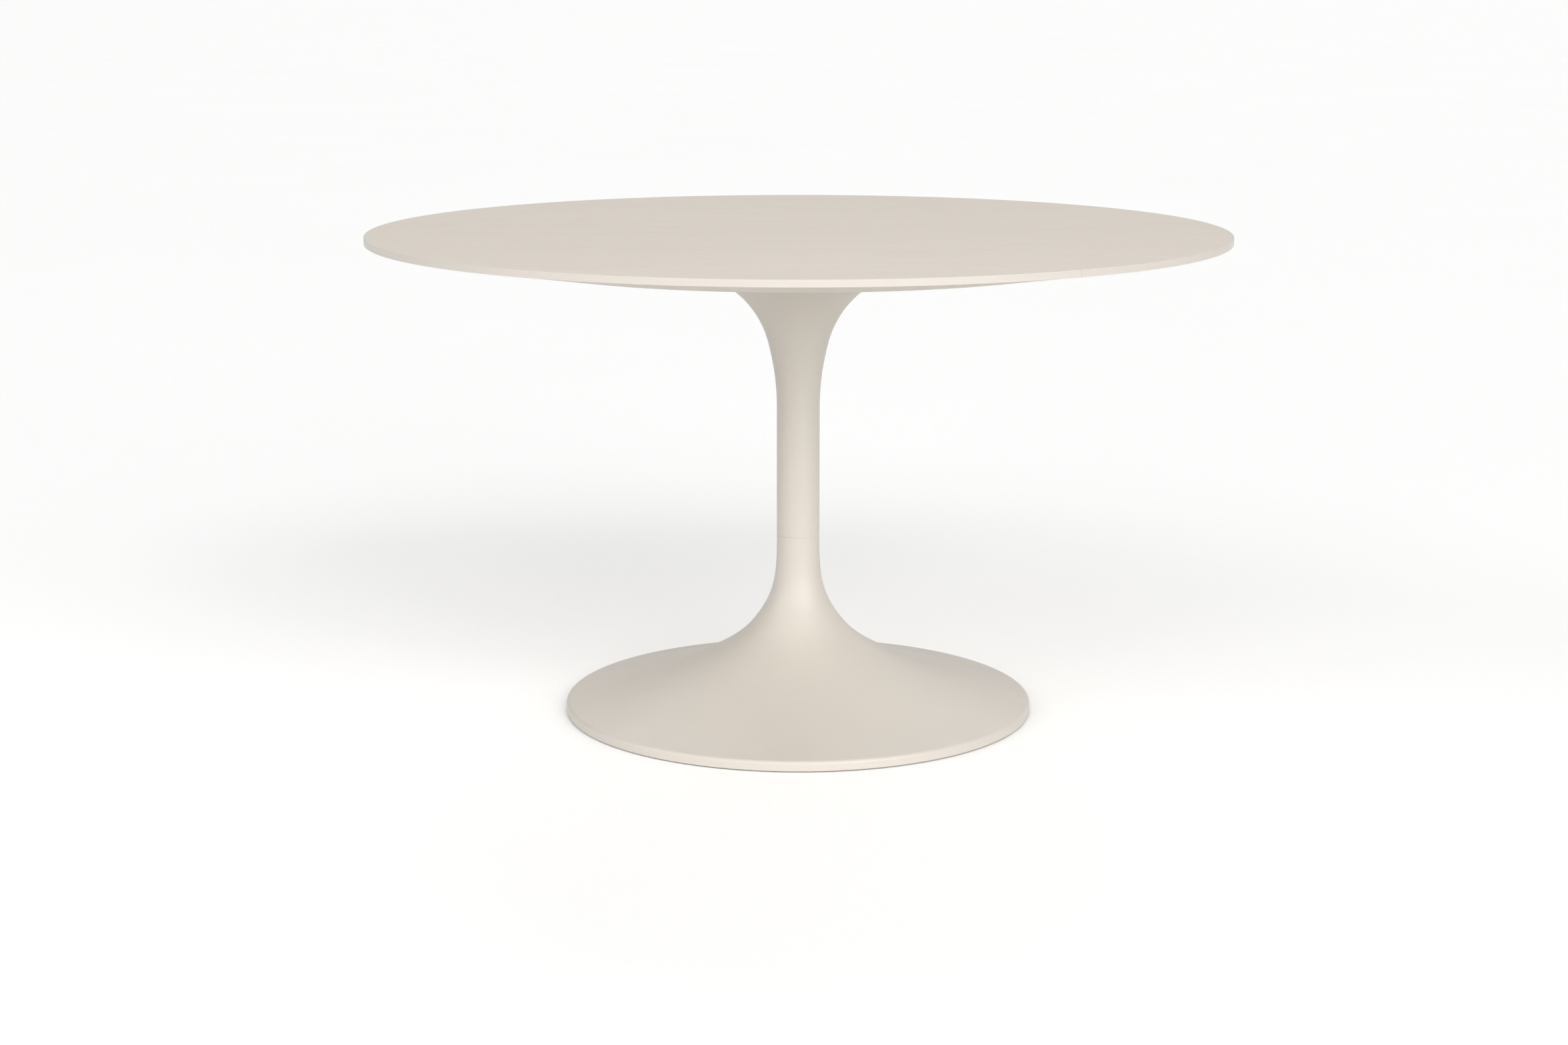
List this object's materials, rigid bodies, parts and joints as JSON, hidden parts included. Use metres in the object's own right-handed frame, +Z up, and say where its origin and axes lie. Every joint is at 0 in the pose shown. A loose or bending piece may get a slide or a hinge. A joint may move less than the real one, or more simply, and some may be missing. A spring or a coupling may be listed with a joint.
{
  "type": "round pedestal table",
  "caption": "Round dining table with a thin-edged top on a trumpet-shaped pedestal that flares into a wide round base.",
  "frame": {"origin": "on the floor, on the table's vertical axis", "axes": "+Z up the pedestal's axis, -Y towards the front, +X to the right of a person who faces the front"},
  "size_m": [1.333, 1.333, 0.762],
  "materials": {
    "face_sheet": "matte, warm greige, very faint straight grain along X",
    "edge_band": "smooth satin, lighter than the top",
    "board_paint": "painted board, smooth matte",
    "pedestal_paint": "matte powder coat",
    "steel": "zinc-plated steel",
    "cast_iron": "rough sand-cast, black",
    "brass": "machined brass",
    "glide_pad": "moulded nylon"
  },
  "bodies": {
    "table": {"tabletop_core": "board_paint", "top_face_sheet": "face_sheet", "edge_band": "edge_band", "mounting_plate": "steel", "pedestal_column": "pedestal_paint", "base_shell": "pedestal_paint", "joining_sleeve": "steel", "tie_rod": "steel", "rod_lock_nut": "steel", "clamp_washer": "steel", "spring_washer": "steel", "rod_clamp_nut": "steel", "base_plate": "steel", "ballast_disc": "cast_iron", "threaded_insert_1": "brass", "mounting_screw_1": "steel", "threaded_insert_2": "brass", "mounting_screw_2": "steel", "threaded_insert_3": "brass", "mounting_screw_3": "steel", "threaded_insert_4": "brass", "mounting_screw_4": "steel", "threaded_insert_5": "brass", "mounting_screw_5": "steel", "threaded_insert_6": "brass", "mounting_screw_6": "steel", "threaded_insert_7": "brass", "mounting_screw_7": "steel", "threaded_insert_8": "brass", "mounting_screw_8": "steel", "ballast_screw_1": "steel", "glide_nut_1": "steel", "ballast_screw_2": "steel", "glide_nut_2": "steel", "ballast_screw_3": "steel", "glide_nut_3": "steel", "ballast_screw_4": "steel", "glide_nut_4": "steel", "base_plate_screw_1": "steel", "base_plate_screw_2": "steel", "base_plate_screw_3": "steel", "base_plate_screw_4": "steel", "base_plate_screw_5": "steel", "base_plate_screw_6": "steel"},
    "glide_foot_1": {"glide_pad_1": "glide_pad"},
    "glide_screw_1": {"glide_stud_1": "steel"},
    "glide_foot_2": {"glide_pad_2": "glide_pad"},
    "glide_screw_2": {"glide_stud_2": "steel"},
    "glide_foot_3": {"glide_pad_3": "glide_pad"},
    "glide_screw_3": {"glide_stud_3": "steel"},
    "glide_foot_4": {"glide_pad_4": "glide_pad"},
    "glide_screw_4": {"glide_stud_4": "steel"}
  },
  "joints": [
    {"name": "glide_lift_1", "type": "slide", "parent": "table", "child": "glide_foot_1", "axis": [0, 0, -1], "range_m": [0, 0.008]},
    {"name": "glide_turn_1", "type": "hinge", "parent": "glide_foot_1", "child": "glide_screw_1", "pos_m": [0.21213, 0.21213, 0.01], "axis": [0, 0, 1], "range_deg": [0, 2304]},
    {"name": "glide_lift_2", "type": "slide", "parent": "table", "child": "glide_foot_2", "axis": [0, 0, -1], "range_m": [0, 0.008]},
    {"name": "glide_turn_2", "type": "hinge", "parent": "glide_foot_2", "child": "glide_screw_2", "pos_m": [-0.21213, 0.21213, 0.01], "axis": [0, 0, 1], "range_deg": [0, 2304]},
    {"name": "glide_lift_3", "type": "slide", "parent": "table", "child": "glide_foot_3", "axis": [0, 0, -1], "range_m": [0, 0.008]},
    {"name": "glide_turn_3", "type": "hinge", "parent": "glide_foot_3", "child": "glide_screw_3", "pos_m": [-0.21213, -0.21213, 0.01], "axis": [0, 0, 1], "range_deg": [0, 2304]},
    {"name": "glide_lift_4", "type": "slide", "parent": "table", "child": "glide_foot_4", "axis": [0, 0, -1], "range_m": [0, 0.008]},
    {"name": "glide_turn_4", "type": "hinge", "parent": "glide_foot_4", "child": "glide_screw_4", "pos_m": [0.21213, -0.21213, 0.01], "axis": [0, 0, 1], "range_deg": [0, 2304]}
  ],
  "couplings": [
    {"joint": "glide_lift_1", "follows": "glide_turn_1", "m_per_rad": 0.00019894},
    {"joint": "glide_lift_2", "follows": "glide_turn_2", "m_per_rad": 0.00019894},
    {"joint": "glide_lift_3", "follows": "glide_turn_3", "m_per_rad": 0.00019894},
    {"joint": "glide_lift_4", "follows": "glide_turn_4", "m_per_rad": 0.00019894}
  ]
}
